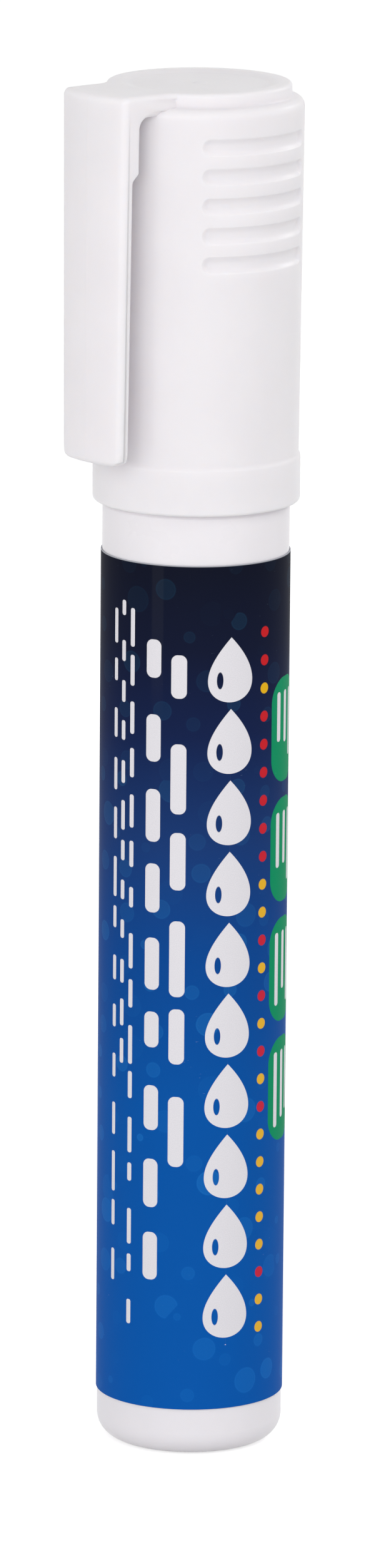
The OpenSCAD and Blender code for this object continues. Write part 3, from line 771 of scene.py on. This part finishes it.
def holderPiece():
    # The front section's profile turned about Z.
    h = holder
    path = roundedPath([
        (h["skirtInside"], h["low"], 0.15), (h["skirt"], h["low"], 0.2), (h["skirt"], h["flangeLow"], 0.05),
        (h["flange"], h["flangeLow"], 0.05), (h["flange"], h["flangeTop"], 0.2),
        (h["coneFoot"], h["flangeTop"], 0.25), (h["nozzle"], h["nozzleLow"], 1.2),
        (h["nozzle"], h["nozzleTop"], 0.5), (h["bore"], h["nozzleTop"], 0.12),
        (h["bore"], h["boreLow"], 0.2), (h["coneInside"], h["nozzleLow"], 0.3),
        (h["coneInsideFoot"], h["coneInsideLow"], 0.3), (h["seat"], h["seatHeight"], 0.1),
        (h["skirtInside"], h["seatHeight"], 0.1)], closed=True)
    points = aroundAxis(path, np.linspace(0, 2 * np.pi, h["columns"], endpoint=False))
    return makeMesh("nibHolderCone", points.reshape(-1, 3),
                    [gridFaces(len(path), h["columns"], closeRows=True, closeColumns=True)])


finishPiece(holderPiece(), barrelPlastic, "pen", "white_plastic", "nib_holder")

nib = {"radius": 2.47, "low": 98.4, "taper": 114.58, "tip": 117.67, "tipRadius": 1.17, "dome": 0.32, "fuzz": 0.025,
       "rows": 0.28, "columns": 120}


def nibPiece():
    # A felt rod and its domed tip, with its surface moved in and out a little by waves, as cut fibre is.
    b = nib
    path = roundedPath([(0, b["low"], 0), (b["radius"], b["low"], 0.2), (b["radius"], b["taper"], 0.9),
                        (b["tipRadius"], b["tip"] - b["dome"], 0.7), (0, b["tip"], 0)], step=lambda p: b["rows"])

    def fuzzy(radius, height, angles):
        # two crossing waves and one slanting wave, never above the plain rod and gone at the axis
        wave = np.sin(17 * angles + 5 * height) * np.sin(9.3 * height + 3 * angles)
        wave += np.sin(29 * angles - 7 * height)
        return radius + b["fuzz"] * (0.5 * wave - 1) * np.clip(radius, 0, 1), height

    points, faces = turned(path, np.linspace(0, 2 * np.pi, b["columns"], endpoint=False), fuzzy)
    return makeMesh("feltNib", points, faces)


finishPiece(nibPiece(), nibFelt, "nib_and_stem", "nib_felt", "nib")

spring = {
    "radius": 2.375, "wire": 0.225, "low": 85.55, "high": 93.05, "coils": 7, "endPitch": 0.47, "closedTurns": 0.75,
    "easeTurns": 0.5, "stepsPerCoil": 28, "sides": 14, "stands": 85.3, "length": 8.0, "travel": 1.8,
}


def springPiece():
    # A round wire along a helix whose end coils lie closed: height is the running sum of a pitch that eases
    # from the wire's own width at both ends to the open coils' pitch.
    s = spring
    turns = np.linspace(0, s["coils"], s["coils"] * s["stepsPerCoil"] + 1)
    fromEnd = np.minimum(turns, s["coils"] - turns)
    ease = np.clip((fromEnd - s["closedTurns"]) / s["easeTurns"], 0, 1)
    openness = ease * ease * (3 - 2 * ease)
    steps = (openness[1:] + openness[:-1]) / 2
    spare = (s["high"] - s["low"]) - s["endPitch"] * s["coils"]
    rise = np.concatenate([[0], np.cumsum(s["endPitch"] * np.diff(turns) + spare * steps / steps.sum())])
    angle = 2 * np.pi * turns
    ring = np.linspace(0, 2 * np.pi, s["sides"], endpoint=False)
    radius = s["radius"] + s["wire"] * np.cos(ring)[None, :]
    points = np.stack([radius * np.cos(angle)[:, None], radius * np.sin(angle)[:, None],
                       (s["low"] + rise)[:, None] + s["wire"] * np.sin(ring)[None, :]], -1)
    cut = np.arange(s["sides"])
    ends = [cut[None, ::-1], cut[None, :] + (len(turns) - 1) * s["sides"]]
    tube = gridFaces(len(turns), s["sides"], closeColumns=True)
    return makeMesh("returnSpring", points.reshape(-1, 3), [tube] + ends)


springObject = finishPiece(springPiece(), springSteel, "pen", "spring_steel", "valve_spring")
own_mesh(springObject)


def dress(node, material):
    # A CAD node keeps its mesh and gets this material in every slot it has.
    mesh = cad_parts[node].data
    if not mesh.materials:
        mesh.materials.append(material)
    for index in range(len(mesh.materials)):
        mesh.materials[index] = material


for node in ("valve_body", "valve_stem", "spring_retainer", "cap_liner"):
    dress(node, naturalPlastic)
dress("valve_seat", sealRubber)
dress("mixing_ball_1", ballSteel)
dress("mixing_ball_2", ballSteel)
print("stage 5: inner pieces dressed")

# Floor, light, camera
studio = {  # a lamp is: degrees round from the camera, degrees up, metres away, width, height, light on the pen
    "skyAround": 0.93, "skyAbove": 0.36, "floor": 1.6, "floorDrop": 0.02, "floorGlow": 0.62,
    "floorTones": ((0.7, 0.7, 0.7, 1.0), (0.68, 0.68, 0.685, 1.0)), "cameraAzimuth": 50.0, "aim": (0, 0, 0.065),
    "lamps": {"keyLight": (-14.0, 18.0, 0.85, 0.5, 0.5, 0.25), "fillLight": (48.0, 42.0, 0.8, 0.45, 0.45, 0.16),
             "rimLight": (128.0, 28.0, 0.8, 0.22, 0.1, 0.12), "sheenStrip": (-46.0, 7.0, 0.3, 0.08, 0.19, 0.07)},
}


def whiteWhenSeen(n):
    # 1 for a ray from the camera, off a gloss or through glass, else 0.
    seen = n.add("ShaderNodeLightPath")
    direct = n.maths("MAXIMUM", seen.outputs["Is Camera Ray"], seen.outputs["Is Transmission Ray"])
    return n.maths("MAXIMUM", direct, seen.outputs["Is Glossy Ray"])


def floorPiece():
    # A flat square just under the pen, whose points are a small grid.
    side = np.linspace(-studio["floor"], studio["floor"], 9) * 1000
    x, y = np.meshgrid(side, side)
    points = np.stack([x, y, np.full_like(x, -studio["floorDrop"])], -1).reshape(-1, 3)
    piece = makeMesh("studioFloor", points, [gridFaces(9, 9)])
    material, n, shader = newMaterial("paleFloor", Roughness=0.9, Specular_IOR_Level=0.1)
    n.put(shader.inputs["Base Color"], n.mix(n.noise(n.objectSpace(), 6.0), *studio["floorTones"]))
    n.put(shader.inputs["Emission Color"], (1.0, 1.0, 1.0, 1.0))
    n.put(shader.inputs["Emission Strength"], n.maths("MULTIPLY", whiteWhenSeen(n), studio["floorGlow"]))
    piece.data.materials.append(material)
    return piece


def areaLight(name, around, up, distance, width, tall, level):
    # A soft box aimed at the pen's middle: watts = level * pi * pi * distance squared.
    lamp = bpy.data.lights.new(name, "AREA")
    lamp.shape, lamp.size, lamp.size_y = "RECTANGLE", width, tall
    lamp.energy = level * np.pi ** 2 * distance ** 2
    azimuth, height = np.radians(studio["cameraAzimuth"] + around), np.radians(up)
    away = Vector((np.sin(azimuth) * np.cos(height), -np.cos(azimuth) * np.cos(height), np.sin(height)))
    box = bpy.data.objects.new(name, lamp)
    scene.collection.objects.link(box)
    box.location = Vector(studio["aim"]) + away * distance
    box.rotation_mode = "QUATERNION"
    box.rotation_quaternion = (-away).to_track_quat("-Z", "Y")
    box.visible_camera = False


def skyWorld():
    # Plain soft light that dims from the sides to straight up. Seen straight, mirrored or through, it is white.
    world = bpy.data.worlds.new("softStudio")
    scene.world = world
    world.use_nodes = True
    n = nodeKit(world.node_tree)
    background = world.node_tree.nodes["Background"]
    axes = n.add("ShaderNodeSeparateXYZ")
    n.put(axes.inputs[0], n.add("ShaderNodeTexCoord").outputs["Generated"])
    sky = n.span(axes.outputs["Z"], 0.0, 1.0, studio["skyAround"], studio["skyAbove"], smooth=False)
    n.put(background.inputs["Color"], (1.0, 1.0, 1.0, 1.0))
    n.put(background.inputs["Strength"], n.mix(whiteWhenSeen(n), sky, (1.0, 1.0, 1.0, 1.0)))


floorPiece()
skyWorld()
for lampName, values in studio["lamps"].items():
    areaLight(lampName, *values)

view = {
    "place": (0.66742, -0.56003, 0.25615), "looks": (-0.7480, 0.6268, -0.2182), "roll": 0.00806, "lens": 225.0,
}
camera = bpy.data.cameras.new("photoCamera")
camera.sensor_width, camera.lens = 36.0, view["lens"]
camera.clip_start, camera.clip_end = 0.05, 20.0
cameraObject = bpy.data.objects.new("photoCamera", camera)
scene.collection.objects.link(cameraObject)
cameraObject.location = view["place"]
cameraObject.rotation_mode = "QUATERNION"
aimed = Vector(view["looks"]).to_track_quat("-Z", "Y")
cameraObject.rotation_quaternion = aimed @ Quaternion((0, 0, 1), view["roll"])
scene.camera = cameraObject
print("stage 6: studio ready")
